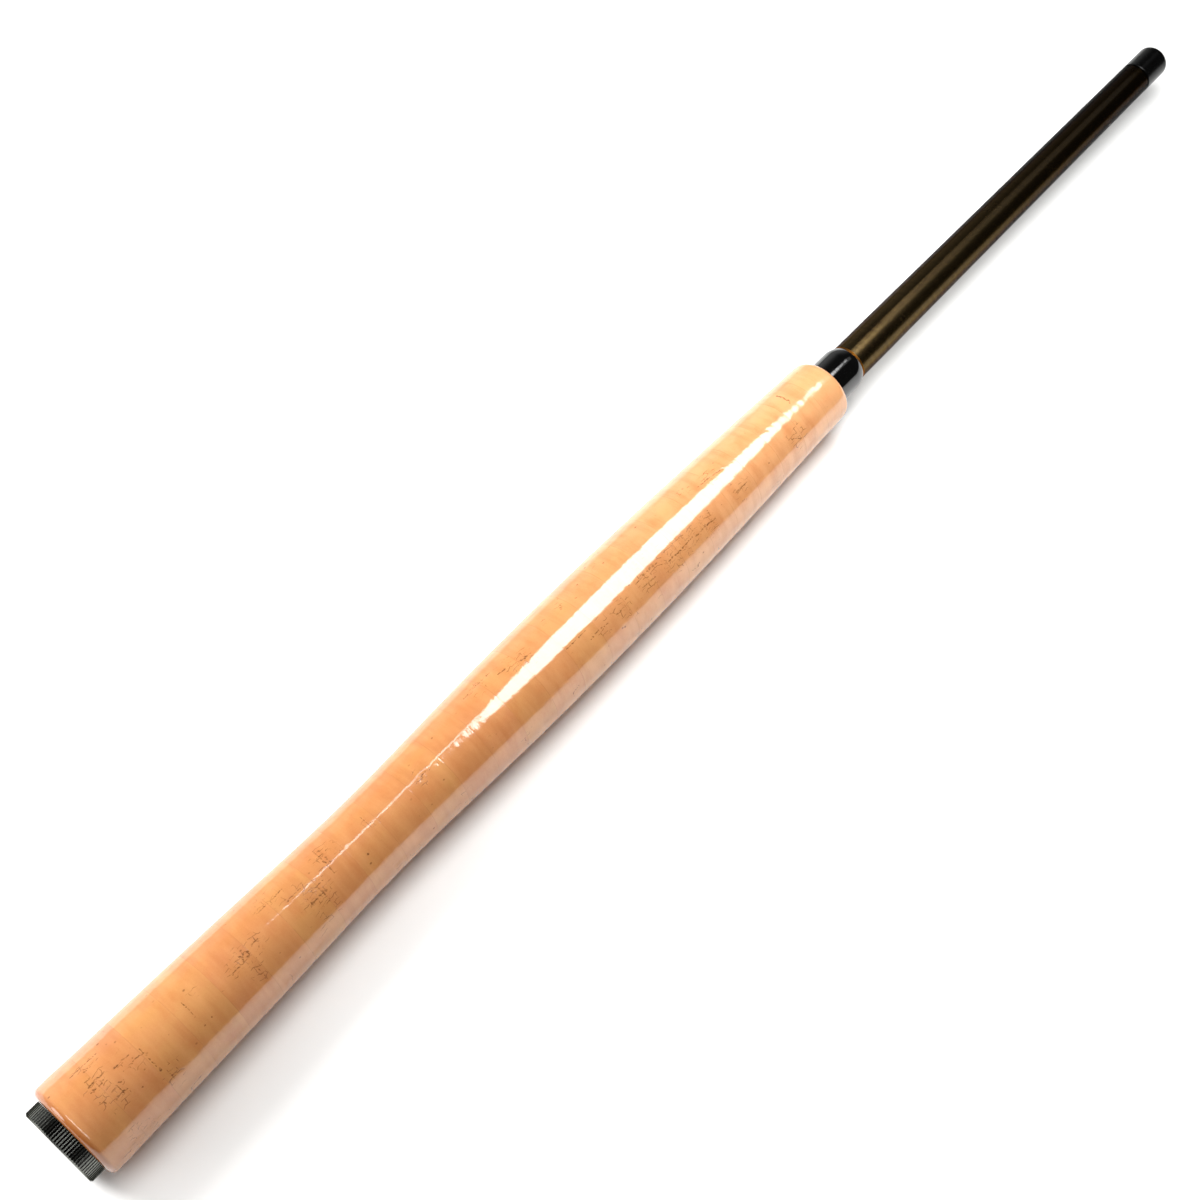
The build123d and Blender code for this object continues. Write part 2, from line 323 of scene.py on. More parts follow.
class StageLook(bpy.types.PropertyGroup):
    """Floor, lights and camera."""

    floor_colour: colour_property(
        name="Floor",
        description="Colour of the floor",
        default=(0.86, 0.86, 0.85),
    )
    top_light_power: power_property(
        name="Top Light",
        description="Power of the round softbox above the rod",
        default=1.6,
    )
    tube_light_power: power_property(
        name="Tube Light",
        description="Power of the short tube beside the softbox",
        default=0.026,
    )
    room_light_strength: FloatProperty(
        name="Room Light",
        description="Strength of the even light on the whole floor, in watts per square metre",
        default=1.3,
    )
    key_light_power: power_property(
        name="Key Light",
        description="Power of the large light beyond the rod",
        default=5.45,
    )
    butt_light_power: power_property(
        name="Butt Light",
        description="Power of the light behind the butt that glints on the grip's rounded edge",
        default=0.42,
    )
    tip_light_power: power_property(
        name="Tip Light",
        description="Power of the dim light that gives the far end of the blank its glow",
        default=0.05,
    )
    cap_light_power: power_property(
        name="Cap Light",
        description="Power of the narrow light above the butt cap that shows its ribs",
        default=0.17,
    )
    camera_azimuth: FloatProperty(
        name="Camera Azimuth",
        description="Direction from which the camera looks",
        subtype="ANGLE",
        default=math.radians(-49.41),
    )
    camera_elevation: FloatProperty(
        name="Camera Elevation",
        description="Height of the camera as an angle above the floor",
        subtype="ANGLE",
        default=math.radians(58.06),
    )
    camera_distance: FloatProperty(
        name="Camera Distance",
        description="Distance from the camera to the middle of the picture, along its line of sight",
        unit="LENGTH",
        default=0.5208,
    )
    camera_lens: FloatProperty(
        name="Camera Lens",
        description="Focal length in millimetres on a sensor 36 mm wide",
        default=52.74,
    )


class Bench:
    """Adds and wires nodes in one node tree."""

    def __init__(self, tree):
        self.tree = tree

    def feed(self, socket, value):
        """Link another node's output to a socket, or set the socket's own value."""
        if isinstance(value, bpy.types.NodeSocket):
            self.tree.links.new(value, socket)
        elif socket.type == "RGBA":
            socket.default_value = (*value[:3], 1.0)
        else:
            socket.default_value = value

    def put(self, kind, inputs=None, **options):
        """Add a node with its options, and feed its inputs by name or number."""
        node = self.tree.nodes.new(kind)
        for option, value in options.items():
            setattr(node, option, value)
        for socket, value in (inputs or {}).items():
            self.feed(node.inputs[socket], value)
        return node

    def math(self, operation, *values):
        """One step of arithmetic."""
        return self.put("ShaderNodeMath", dict(enumerate(values)), operation=operation).outputs[0]

    def times(self, first, second):
        """Product of two values."""
        return self.math("MULTIPLY", first, second)

    def parts(self, vector):
        """Split a vector into its X, Y and Z."""
        return self.put("ShaderNodeSeparateXYZ", {0: vector}).outputs

    def tint(self, colour, tone):
        """Multiply a colour by a tone."""
        return self.mix(1.0, colour, tone, "MULTIPLY")

    def vector(self, operation, *values):
        """One step of arithmetic on vectors."""
        node = self.put("ShaderNodeVectorMath", dict(enumerate(values)), operation=operation)
        return node.outputs[0]

    def mix(self, share, first, second, blend="MIX"):
        """Blend two colours."""
        inputs = {0: share, 6: first, 7: second}
        node = self.put("ShaderNodeMix", inputs, data_type="RGBA", blend_type=blend)
        return node.outputs[2]

    def step(self, value, low, high, bottom=0.0, top=1.0):
        """Rise smoothly from bottom to top while the value goes from low to high."""
        inputs = {0: value, 1: low, 2: high, 3: bottom, 4: top}
        node = self.put("ShaderNodeMapRange", inputs, interpolation_type="SMOOTHSTEP")
        return node.outputs[0]

    def noise(self, place, scale, detail=2.0, roughness=0.5):
        """Soft noise between 0 and 1."""
        inputs = {"Vector": place, "Scale": scale, "Detail": detail, "Roughness": roughness}
        return self.put("ShaderNodeTexNoise", inputs).outputs[0]

    def stretched(self, place, stretch):
        """Scale a place by a different factor along each axis."""
        return self.vector("MULTIPLY", place, stretch)

    def place_mm(self):
        """Place on the piece in millimetres, in the rod's own frame."""
        place = self.put("ShaderNodeTexCoord").outputs["Object"]
        return self.stretched(place, (1 / MM, 1 / MM, 1 / MM))

    def bump(self, height, distance, strength=1.0):
        """Normal from a height, where a height of 1 stands out by the distance."""
        inputs = {"Height": height, "Distance": distance, "Strength": strength}
        return self.put("ShaderNodeBump", inputs).outputs[0]


def start_material(name):
    """Make an empty material, and return it with its bench and the place on the piece."""
    material = bpy.data.materials.new(name)
    material.use_nodes = True
    material.node_tree.nodes.clear()
    bench = Bench(material.node_tree)
    return material, bench, bench.place_mm()


def close_material(bench, **sockets):
    """Add the shader and the output. Underscores in socket names stand for spaces."""
    inputs = {name.replace("_", " "): value for name, value in sockets.items()}
    shader = bench.put("ShaderNodeBsdfPrincipled", inputs)
    bench.put("ShaderNodeOutputMaterial", {"Surface": shader.outputs[0]})


def make_group(name, inputs, outputs):
    """Make a shader node group with its sockets, and return it with its bench and inner ends."""
    group = bpy.data.node_groups.new(name, "ShaderNodeTree")
    for label, kind, value in inputs:
        socket = group.interface.new_socket(label, in_out="INPUT", socket_type=kind)
        if value is not None:
            socket.default_value = value
    for label, kind in outputs:
        group.interface.new_socket(label, in_out="OUTPUT", socket_type=kind)
    bench = Bench(group)
    entry = bench.put("NodeGroupInput")
    leave = bench.put("NodeGroupOutput")
    return group, bench, entry, leave


def handling_wear_group():
    """Uneven polish and faint dust that handling leaves on every finish."""
    name = "Handling Wear"
    if name in bpy.data.node_groups:
        return bpy.data.node_groups[name]
    group, bench, entry, leave = make_group(
        name,
        (
            ("Place", "NodeSocketVector", None),
            ("Roughness", "NodeSocketFloat", 0.3),
            ("Unevenness", "NodeSocketFloat", 0.1),
        ),
        (("Roughness", "NodeSocketFloat"), ("Dust", "NodeSocketFloat")),
    )
    place = entry.outputs["Place"]
    broad = bench.noise(place, 0.11, 3.0)
    fine = bench.noise(place, 1.9, 4.0, 0.65)
    both = bench.math("ADD", bench.times(broad, 0.7), bench.times(fine, 0.3))
    swing = bench.times(bench.math("SUBTRACT", both, 0.5), entry.outputs["Unevenness"])
    bench.feed(leave.inputs["Roughness"], bench.math("ADD", entry.outputs["Roughness"], swing))
    bench.feed(leave.inputs["Dust"], bench.step(bench.noise(place, 5.5, 1.0), 0.73, 0.82))
    return group


def turning_marks_group():
    """Fine rings that a lathe or a grinder leaves round a turned piece."""
    name = "Turning Marks"
    if name in bpy.data.node_groups:
        return bpy.data.node_groups[name]
    group, bench, entry, leave = make_group(
        name,
        (
            ("Place", "NodeSocketVector", None),
            ("Marks per mm", "NodeSocketFloat", 4.0),
            ("Slant", "NodeSocketFloat", 0.0),
        ),
        (("Height", "NodeSocketFloat"), ("Shade", "NodeSocketFloat")),
    )
    parts = bench.parts(entry.outputs["Place"])
    turn = bench.math("ARCTAN2", parts["Y"], parts["Z"])
    along = bench.math("ADD", parts["X"], bench.times(turn, entry.outputs["Slant"]))
    row = bench.times(along, entry.outputs["Marks per mm"])
    height = bench.put("ShaderNodeTexNoise", {"W": row, "Detail": 3.0}, noise_dimensions="1D")
    bench.feed(leave.inputs["Height"], height.outputs[0])
    slow = bench.put(
        "ShaderNodeTexNoise",
        {"W": bench.times(row, 0.17), "Detail": 2.0},
        noise_dimensions="1D",
    )
    bench.feed(leave.inputs["Shade"], slow.outputs[0])
    return group


def handling_wear(bench, place, roughness, unevenness):
    """Add the wear group, and return its outputs."""
    inputs = {"Place": place, "Roughness": roughness, "Unevenness": unevenness}
    return bench.put("ShaderNodeGroup", inputs, node_tree=handling_wear_group()).outputs


def turning_marks(bench, place, marks_per_mm, slant=0.0):
    """Add the group of turning marks, and return its outputs."""
    inputs = {"Place": place, "Marks per mm": marks_per_mm, "Slant": slant}
    return bench.put("ShaderNodeGroup", inputs, node_tree=turning_marks_group()).outputs


def broken_bricks(bench, place, size_mm, width_mm, break_place, break_scale):
    """Thin lines between bricks, broken up by noise."""
    lines = bench.put(
        "ShaderNodeTexBrick",
        {
            "Vector": place,
            "Scale": 1.0,
            "Mortar Size": width_mm,
            "Mortar Smooth": 0.35,
            "Brick Width": size_mm[0],
            "Row Height": size_mm[1],
        },
        offset=0.37,
        offset_frequency=2,
    ).outputs["Fac"]
    broken = bench.step(bench.noise(break_place, break_scale, 2.0, 0.5), 0.50, 0.57)
    return bench.times(lines, broken)


def cork_material(look):
    """Varnished cork: ring by ring tones, growth lines, ladder-like cracks and filled pits."""
    material, bench, place = start_material("varnished_cork")
    parts = bench.parts(place)
    start, length = grip_start / MM, ring_length / MM
    rings_along = bench.math("DIVIDE", bench.math("SUBTRACT", parts["X"], start), length)
    ring_number = bench.math("FLOOR", rings_along)
    luck = bench.put("ShaderNodeTexWhiteNoise", {"W": ring_number}, noise_dimensions="1D")
    shift = bench.stretched(luck.outputs["Color"], (0, 61, 47))
    ring_place = bench.vector("ADD", place, shift)

    # Tone of each ring and the clouds in it
    ring_tone = bench.step(luck.outputs["Value"], 0.1, 0.9)
    clouds = bench.noise(bench.stretched(ring_place, (0.10, 0.16, 0.16)), 1.0, 4.0, 0.55)
    warmth = bench.math("MULTIPLY_ADD", clouds, 0.9, bench.times(ring_tone, 0.6))
    pink = bench.step(warmth, 0.55, 0.15)
    yellow = bench.step(warmth, 0.75, 1.2)
    colour = bench.mix(pink, look.colour, look.pink_colour)
    colour = bench.mix(yellow, colour, look.yellow_colour)
    paler = bench.step(parts["X"], 120.0, grip_end / MM)
    colour = bench.mix(paler, colour, look.front_colour)

    # Mottling, growth lines across the grip, and the grain of the cells
    mottle = bench.noise(bench.stretched(ring_place, (0.14, 0.11, 0.11)), 1.0, 5.0, 0.6)
    darker = bench.step(mottle, 0.56, 0.32, 0.0, 0.34)
    colour = bench.mix(darker, colour, (0.50, 0.165, 0.052))
    growth = bench.noise(bench.stretched(ring_place, (0.30, 0.06, 0.06)), 1.0, 3.0, 0.55)
    grain = bench.noise(bench.stretched(ring_place, (2.2, 3.4, 3.4)), 1.0, 3.0, 0.7)
    shade = bench.math("ADD", bench.times(growth, 0.75), bench.times(grain, 0.25))
    streaks = bench.step(shade, 0.56, 0.34)
    colour = bench.mix(bench.times(streaks, 0.30), colour, (0.40, 0.13, 0.04))
    pale = bench.step(shade, 0.52, 0.68)
    colour = bench.mix(bench.times(pale, 0.25), colour, (0.68, 0.32, 0.12))

    # Ladder-like cracks, in clusters
    radius = grip_butt_radius / MM
    turn = bench.math("ARCTAN2", bench.times(parts["Y"], -1), parts["Z"])
    flat = bench.put(
        "ShaderNodeCombineXYZ",
        {"X": parts["X"], "Y": bench.times(turn, radius), "Z": 0.0},
    ).outputs[0]
    wobble = bench.put("ShaderNodeTexNoise", {"Vector": ring_place, "Scale": 0.3, "Detail": 2.0})
    wander = bench.stretched(wobble.outputs["Color"], (3.0, 3.0, 0))
    brick_place = bench.vector("ADD", flat, wander)
    ladder = broken_bricks(bench, brick_place, (4.4, 1.7), 0.10, ring_place, 0.42)
    cluster = bench.put("ShaderNodeAttribute", attribute_name="cluster").outputs["Fac"]
    fine_place = bench.vector("ADD", brick_place, (1.3, 0.7, 0))
    fine = broken_bricks(bench, fine_place, (1.9, 1.1), 0.07, fine_place, 0.8)
    stray = bench.step(bench.noise(ring_place, 0.13, 2.0), 0.63, 0.74, 0.0, 0.5)
    where = bench.math("MAXIMUM", cluster, stray)
    fine = bench.times(fine, bench.step(where, 0.5, 1.0, 0.0, 0.8))
    crack = bench.math("MAXIMUM", bench.times(ladder, bench.step(where, 0.1, 0.6)), fine)

    # Dots, and the pits that are sunk in the mesh
    dots = bench.put(
        "ShaderNodeTexVoronoi",
        {"Vector": bench.stretched(ring_place, (0.30, 0.42, 0.42)), "Scale": 1.0},
    )
    dot_luck = bench.put("ShaderNodeSeparateColor", {0: dots.outputs["Color"]}).outputs
    round_dot = bench.step(dots.outputs["Distance"], 0.15, 0.07)
    dot = bench.times(round_dot, bench.step(dot_luck[0], 0.80, 0.95))
    pit_sheet = bench.put("ShaderNodeAttribute", attribute_name="pit").outputs["Fac"]
    ragged = bench.times(bench.math("SUBTRACT", grain, 0.5), 0.6)
    pit = bench.step(bench.math("ADD", pit_sheet, ragged), 0.66, 0.92)
    faint = bench.times(bench.math("MAXIMUM", crack, dot), 0.75)
    dark = bench.math("MAXIMUM", faint, pit)
    halo = bench.times(where, bench.step(clouds, 0.3, 0.7, 0.1, 0.4))
    colour = bench.mix(halo, colour, (0.52, 0.22, 0.07))
    colour = bench.mix(bench.times(dark, 0.85), colour, look.crack_colour)

    # Joints between the rings
    into_ring = bench.math("FRACT", rings_along)
    to_joint = bench.times(bench.math("PINGPONG", into_ring, 0.5), length)
    joint = bench.step(to_joint, 0.16, 0.04)
    joint = bench.times(joint, bench.step(bench.noise(place, 0.3, 2.0), 0.35, 0.6, 0.15, 0.5))
    colour = bench.mix(joint, colour, (0.42, 0.17, 0.06))

    # Darker cork along the butt edge: painted shade where the grip meets the cap
    edge = bench.step(parts["X"], start + 2.2, start + 1.0, 0.0, 0.75)
    colour = bench.mix(edge, colour, (0.34, 0.10, 0.02))

    wear = handling_wear(bench, place, roughness=0.11, unevenness=0.10)
    ripple = bench.noise(bench.stretched(ring_place, (0.42, 0.30, 0.30)), 1.0, 2.0, 0.45)
    teeth = bench.noise(bench.stretched(ring_place, (1.2, 0.5, 0.5)), 1.0, 2.0, 0.5)
    height = bench.math("MULTIPLY_ADD", teeth, 0.22, ripple)
    height = bench.math("MULTIPLY_ADD", crack, -0.08, height)
    close_material(
        bench,
        Base_Color=colour,
        Roughness=wear["Roughness"],
        IOR=1.85,
        Normal=bench.bump(height, 0.07 * MM),
    )
    return material


def lacquer_material(look):
    """Bronze-olive lacquer over carbon, under a clear coat, darker towards the mouth partly as painted
    shade, with a painted dark ring at the mouth.
    """
    material, bench, place = start_material("olive_lacquer")
    parts = bench.parts(place)
    # Darker towards the mouth: partly the lacquer's own tone, partly painted shade where the light
    # falls off
    lacquer_and_shade_fade = bench.step(parts["X"], grip_end / MM, blank_front / MM)
    colour = bench.mix(lacquer_and_shade_fade, look.lacquer_colour, look.tip_lacquer_and_shade)
    flake = bench.put("ShaderNodeTexVoronoi", {"Vector": place, "Scale": 9.0})
    glitter = bench.put("ShaderNodeSeparateColor", {0: flake.outputs["Color"]}).outputs
    sparkle = bench.step(glitter[1], 0.2, 1.0, 0.72, 1.35)
    colour = bench.tint(colour, sparkle)
    marks = turning_marks(bench, place, marks_per_mm=0.9, slant=1.1)
    bands = bench.step(marks["Shade"], 0.3, 0.7, 0.9, 1.1)
    colour = bench.tint(colour, bands)
    wear = handling_wear(bench, place, roughness=0.26, unevenness=0.10)
    colour = bench.mix(bench.times(wear["Dust"], 0.05), colour, (0.3, 0.3, 0.3))
    # Painted shade: the last strip of the blank at the mouth is black and has no clear coat, where the
    # blank meets the plug
    mouth_shade_start, blur = blank_front / MM - 0.7, 0.3
    mouth = bench.step(parts["X"], mouth_shade_start, mouth_shade_start + blur)
    colour = bench.mix(mouth, colour, (0.002, 0.002, 0.002))
    height = bench.math("ADD", glitter[0], bench.times(marks["Height"], 0.5))
    close_material(
        bench,
        Base_Color=colour,
        Metallic=1.0,
        Specular_Tint=(0.24, 0.24, 0.235),
        Roughness=wear["Roughness"],
        Coat_Weight=bench.step(mouth, 0.0, 1.0, 0.14, 0.0),
        Coat_Roughness=0.08,
        Normal=bench.bump(height, 0.004 * MM),
    )
    return material


def carbon_material(look):
    """Ground carbon with spiral grinding marks, and a lacquered band at each section's mouth."""
    material, bench, place = start_material("ground_carbon")
    parts = bench.parts(place)
    marks = turning_marks(bench, place, marks_per_mm=1.6, slant=0.6)
    shade = bench.step(marks["Shade"], 0.3, 0.7, 0.65, 1.5)
    colour = bench.tint(look.carbon_colour, shade)
    band_start, blur = tube_front / MM - 27.0, 0.6
    band = bench.step(parts["X"], band_start, band_start + blur)
    colour = bench.mix(band, colour, (0.008, 0.007, 0.006))
    wear = handling_wear(bench, place, roughness=0.42, unevenness=0.25)
    smoother = bench.times(band, -0.26)
    close_material(
        bench,
        Base_Color=colour,
        Roughness=bench.math("ADD", wear["Roughness"], smoother),
        Normal=bench.bump(marks["Height"], 0.02 * MM, 0.7),
    )
    return material


def winding_material(look):
    """Thread turns just showing through thick black lacquer."""
    material, bench, place = start_material("black_lacquer")
    parts = bench.parts(place)
    thread_mm = 0.32
    turns = bench.math("SINE", bench.times(parts["X"], 2 * math.pi / thread_mm))
    level = bench.noise(bench.stretched(place, (0.5, 0.25, 0.25)), 1.0, 2.0)
    height = bench.math("ADD", bench.times(turns, 0.03), level)
    threads = bench.step(turns, -1.0, 1.0, 0.6, 1.6)
    colour = bench.tint(look.winding_colour, threads)
    wear = handling_wear(bench, place, roughness=0.05, unevenness=0.05)
    close_material(
        bench,
        Base_Color=colour,
        Roughness=wear["Roughness"],
        IOR=1.7,
        Normal=bench.bump(height, 0.015 * MM),
    )
    return material


def thread_material(look):
    """Copper thread under clear lacquer, with the twist of its strands."""
    material, bench, place = start_material("copper_thread")
    parts = bench.parts(place)
    turn = bench.math("ARCTAN2", parts["Y"], parts["Z"])
    strands_round, twist_per_mm = 130.0, 20.0
    twist = bench.math("MULTIPLY_ADD", turn, strands_round, bench.times(parts["X"], twist_per_mm))
    strands = bench.math("SINE", twist)
    tone = bench.step(strands, -1.0, 1.0, 0.55, 1.3)
    colour = bench.tint(look.copper_colour, tone)
    wear = handling_wear(bench, place, roughness=0.28, unevenness=0.2)
    close_material(
        bench,
        Base_Color=colour,
        Metallic=1.0,
        Specular_Tint=(0.10, 0.06, 0.03),
        Roughness=wear["Roughness"],
        Normal=bench.bump(strands, 0.012 * MM),
    )
    return material


def ribbed_metal_material(name, colour):
    """Anodised metal whose ribs keep the metal's colour, with painted shade in the grooves between
    them.
    """
    material, bench, place = start_material(name)
    parts = bench.parts(place)
    across = bench.stretched(place, (0, 1, 1))
    radius = bench.put("ShaderNodeVectorMath", {0: across}, operation="LENGTH").outputs["Value"]
    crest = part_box("butt_cap")[1].z / MM
    crest_depth, groove_depth, face_depth = 0.04, 0.36, 0.3
    below_crest = bench.step(radius, crest - crest_depth, crest - crest_depth - 0.1)
    above_core = bench.step(radius, crest - groove_depth, crest - groove_depth + 0.06)
    behind_face = bench.step(parts["X"], face_depth, face_depth + 0.2)
    painted_groove_shade = bench.times(bench.times(below_crest, above_core), behind_face)
    wear = handling_wear(bench, place, roughness=0.22, unevenness=0.08)
    skin = bench.noise(place, 3.0, 3.0, 0.6)
    tone = bench.step(skin, 0.3, 0.7, 0.85, 1.15)
    shade = bench.tint(colour, tone)
    # Painted shade: the grooves between the ribs are darkened
    shade = bench.mix(painted_groove_shade, shade, (0.030, 0.030, 0.028))
    shade = bench.mix(bench.times(wear["Dust"], 0.04), shade, (0.4, 0.4, 0.4))
    close_material(
        bench,
        Base_Color=shade,
        Metallic=1.0,
        Specular_Tint=(0.15, 0.15, 0.15),
        Roughness=wear["Roughness"],
        Normal=bench.bump(skin, 0.0004 * MM),
    )
    return material


def metal_material(name, colour, roughness, marks_per_mm, mark_height):
    """Turned metal with lathe marks and uneven polish."""
    material, bench, place = start_material(name)
    marks = turning_marks(bench, place, marks_per_mm)
    wear = handling_wear(bench, place, roughness=roughness, unevenness=0.18)
    tone = bench.step(marks["Shade"], 0.3, 0.7, 0.88, 1.12)
    shade = bench.tint(colour, tone)
    shade = bench.mix(bench.times(wear["Dust"], 0.05), shade, (0.4, 0.4, 0.4))
    close_material(
        bench,
        Base_Color=shade,
        Metallic=1.0,
        Roughness=wear["Roughness"],
        Normal=bench.bump(marks["Height"], mark_height),
    )
    return material


def moulded_material(name, colour, gloss, roughness, unevenness, skin_height):
    """Moulded rubber or plastic with a fine skin texture."""
    material, bench, place = start_material(name)
    wear = handling_wear(bench, place, roughness, unevenness)
    skin = bench.noise(place, 4.5, 4.0, 0.7)
    tone = bench.step(bench.noise(place, 0.4, 3.0), 0.3, 0.7, 0.8, 1.25)
    shade = bench.tint(colour, tone)
    shade = bench.mix(bench.times(wear["Dust"], 0.10), shade, (0.4, 0.4, 0.4))
    close_material(
        bench,
        Base_Color=shade,
        Specular_IOR_Level=gloss,
        Roughness=wear["Roughness"],
        Normal=bench.bump(skin, skin_height),
    )
    return material


def turned_mesh(name, outline, columns, sunk=None):
    """Mesh of a closed outline of (x, radius) points turned about the rod's axis, in metres.

    Columns start at the top and go round towards the near side. sunk lowers each point.
    """
    outline = np.asarray(outline, float)
    rows = len(outline)
    turns = np.arange(columns) * 2 * math.pi / columns
    radius = np.repeat(outline[:, 1:], columns, axis=1)
    if sunk is not None:
        radius = radius - sunk
    points = np.empty((rows, columns, 3))
    points[..., 0] = outline[:, :1]
    points[..., 1] = -radius * np.sin(turns)
    points[..., 2] = radius * np.cos(turns)
    here = np.arange(rows * columns).reshape(rows, columns)
    beside = np.roll(here, -1, axis=1)
    quads = np.stack([here, beside, np.roll(beside, -1, axis=0), np.roll(here, -1, axis=0)], axis=-1)
    mesh = bpy.data.meshes.new(name)
    mesh.from_pydata(points.reshape(-1, 3).tolist(), [], quads.reshape(-1, 4).tolist())
    mesh.shade_smooth()
    mesh.set_sharp_from_angle(angle=math.radians(38))
    return mesh


def add_piece(name, mesh, material, body, replaced):
    """Put a mesh in the scene as a piece that rides on a body and stands for a CAD node."""
    mesh.materials.append(material)
    piece = bpy.data.objects.new(name, mesh)
    bpy.context.scene.collection.objects.link(piece)
    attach(piece, body)
    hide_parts(replaced)
    return piece


def dress(names, material):
    """Give CAD nodes a material in place of their own."""
    for name in names:
        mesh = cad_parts[name].data
        mesh.materials.clear()
        mesh.materials.append(material)


def smooth_outline(corners, spacing):
    """Follow (x, radius) corners with a smooth curve, at an even spacing."""
    corners = np.asarray(corners)
    reach = np.hypot(*np.diff(corners, axis=0).T)
    along = np.concatenate([[0], np.cumsum(reach)])
    slopes = np.gradient(corners, along, axis=0)
    places = np.linspace(0, along[-1], int(along[-1] / spacing) + 1)
    index = np.clip(np.searchsorted(along, places, side="right") - 1, 0, len(reach) - 1)
    step = reach[index][:, None]
    share = (places - along[index])[:, None] / step
    return (
        corners[index] * (1 + 2 * share) * (1 - share) ** 2
        + corners[index + 1] * share**2 * (3 - 2 * share)
        + slopes[index] * step * share * (1 - share) ** 2
        + slopes[index + 1] * step * share**2 * (share - 1)
    )


def grip_outline(spacing):
    """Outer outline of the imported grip, smoothed."""
    bore_limit = 8.1 * MM
    corners = set()
    for name in ring_names:
        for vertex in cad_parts[name].data.vertices:
            radius = math.hypot(vertex.co.y, vertex.co.z)
            if radius > bore_limit:
                corners.add((round(vertex.co.x, 6), round(radius, 5)))
    widest = {}
    for x, radius in corners:
        widest[x] = max(radius, widest.get(x, 0))
    outline = smooth_outline(sorted(widest.items()), spacing)
    outline[:, 1] = np.minimum(outline[:, 1], grip_butt_radius)
    return outline


def random_marks(chance):
    """Small pits and short cracks all over the grip: place, angle, half width and depth share."""
    marks = []
    for _ in range(RANDOM_PITS):
        x = chance.uniform(grip_start, grip_end) / MM
        angle = chance.uniform(0, 360)
        marks.append((x, angle, 0.55 + 0.4 * chance.random() ** 2, chance.uniform(0.6, 1)))
    for _ in range(RANDOM_CRACKS):
        x = chance.uniform(grip_start, grip_end) / MM
        angle = chance.uniform(*UNSEEN_SIDE)
        turn, reach = chance.uniform(-20, 20), chance.uniform(-4, 4)
        corners = ((x, angle), (x + reach, angle + 0.2 * turn), (x + reach, angle + turn))
        marks += crack_marks(chance, chance.uniform(0.7, 1.2), corners)
    return marks


def crack_marks(chance, width, corners):
    """A row of small pits along a crack, with gaps and a slight wander."""
    usual_radius = 13.0
    path = np.array([(x, math.radians(angle) * usual_radius) for x, angle in corners])
    if len(path) == 1:
        return [(corners[0][0], corners[0][1], 0.85 * width, 1.0)]
    reach = np.concatenate([[0], np.cumsum(np.hypot(*np.diff(path, axis=0).T))])
    marks = []
    step = 0.25
    for along in np.arange(0, reach[-1], step):
        x, arc = (np.interp(along, reach, path[:, axis]) + chance.normal(0, 0.09) for axis in (0, 1))
        if chance.random() > 0.12:
            share = chance.uniform(0.8, 1)
            marks.append((x, math.degrees(arc / usual_radius), 0.38 + 0.27 * width, share))
    return marks


def sunk_field(x, turns, radius, marks):
    """How far each mesh point sinks, from 0 to 1, for marks in millimetres and degrees."""
    field = np.zeros(radius.shape)
    for mark_x, angle, half_width, share in marks:
        near = np.abs(x - mark_x) < half_width
        if not near.any():
            continue
        gap = (turns - math.radians(angle) + math.pi) % (2 * math.pi) - math.pi
        distance = np.hypot(x[near, None] - mark_x, gap[None, :] * radius[near]) / half_width
        field[near] = np.maximum(field[near], share * np.clip(1.25 - 1.25 * distance, 0, 1))
    return field


def cluster_field(x, turns, radius, clusters):
    """Where the fine cracks gather, from 0 to 1."""
    field = np.zeros(radius.shape)
    for cluster_x, angle, reach, share in clusters:
        gap = (turns - math.radians(angle) + math.pi) % (2 * math.pi) - math.pi
        distance = ((x[:, None] - cluster_x) / reach) ** 2 + (gap[None, :] * radius / reach) ** 2
        field = np.maximum(field, share * np.clip(1.6 * (1 - distance), 0, 1))
    return field


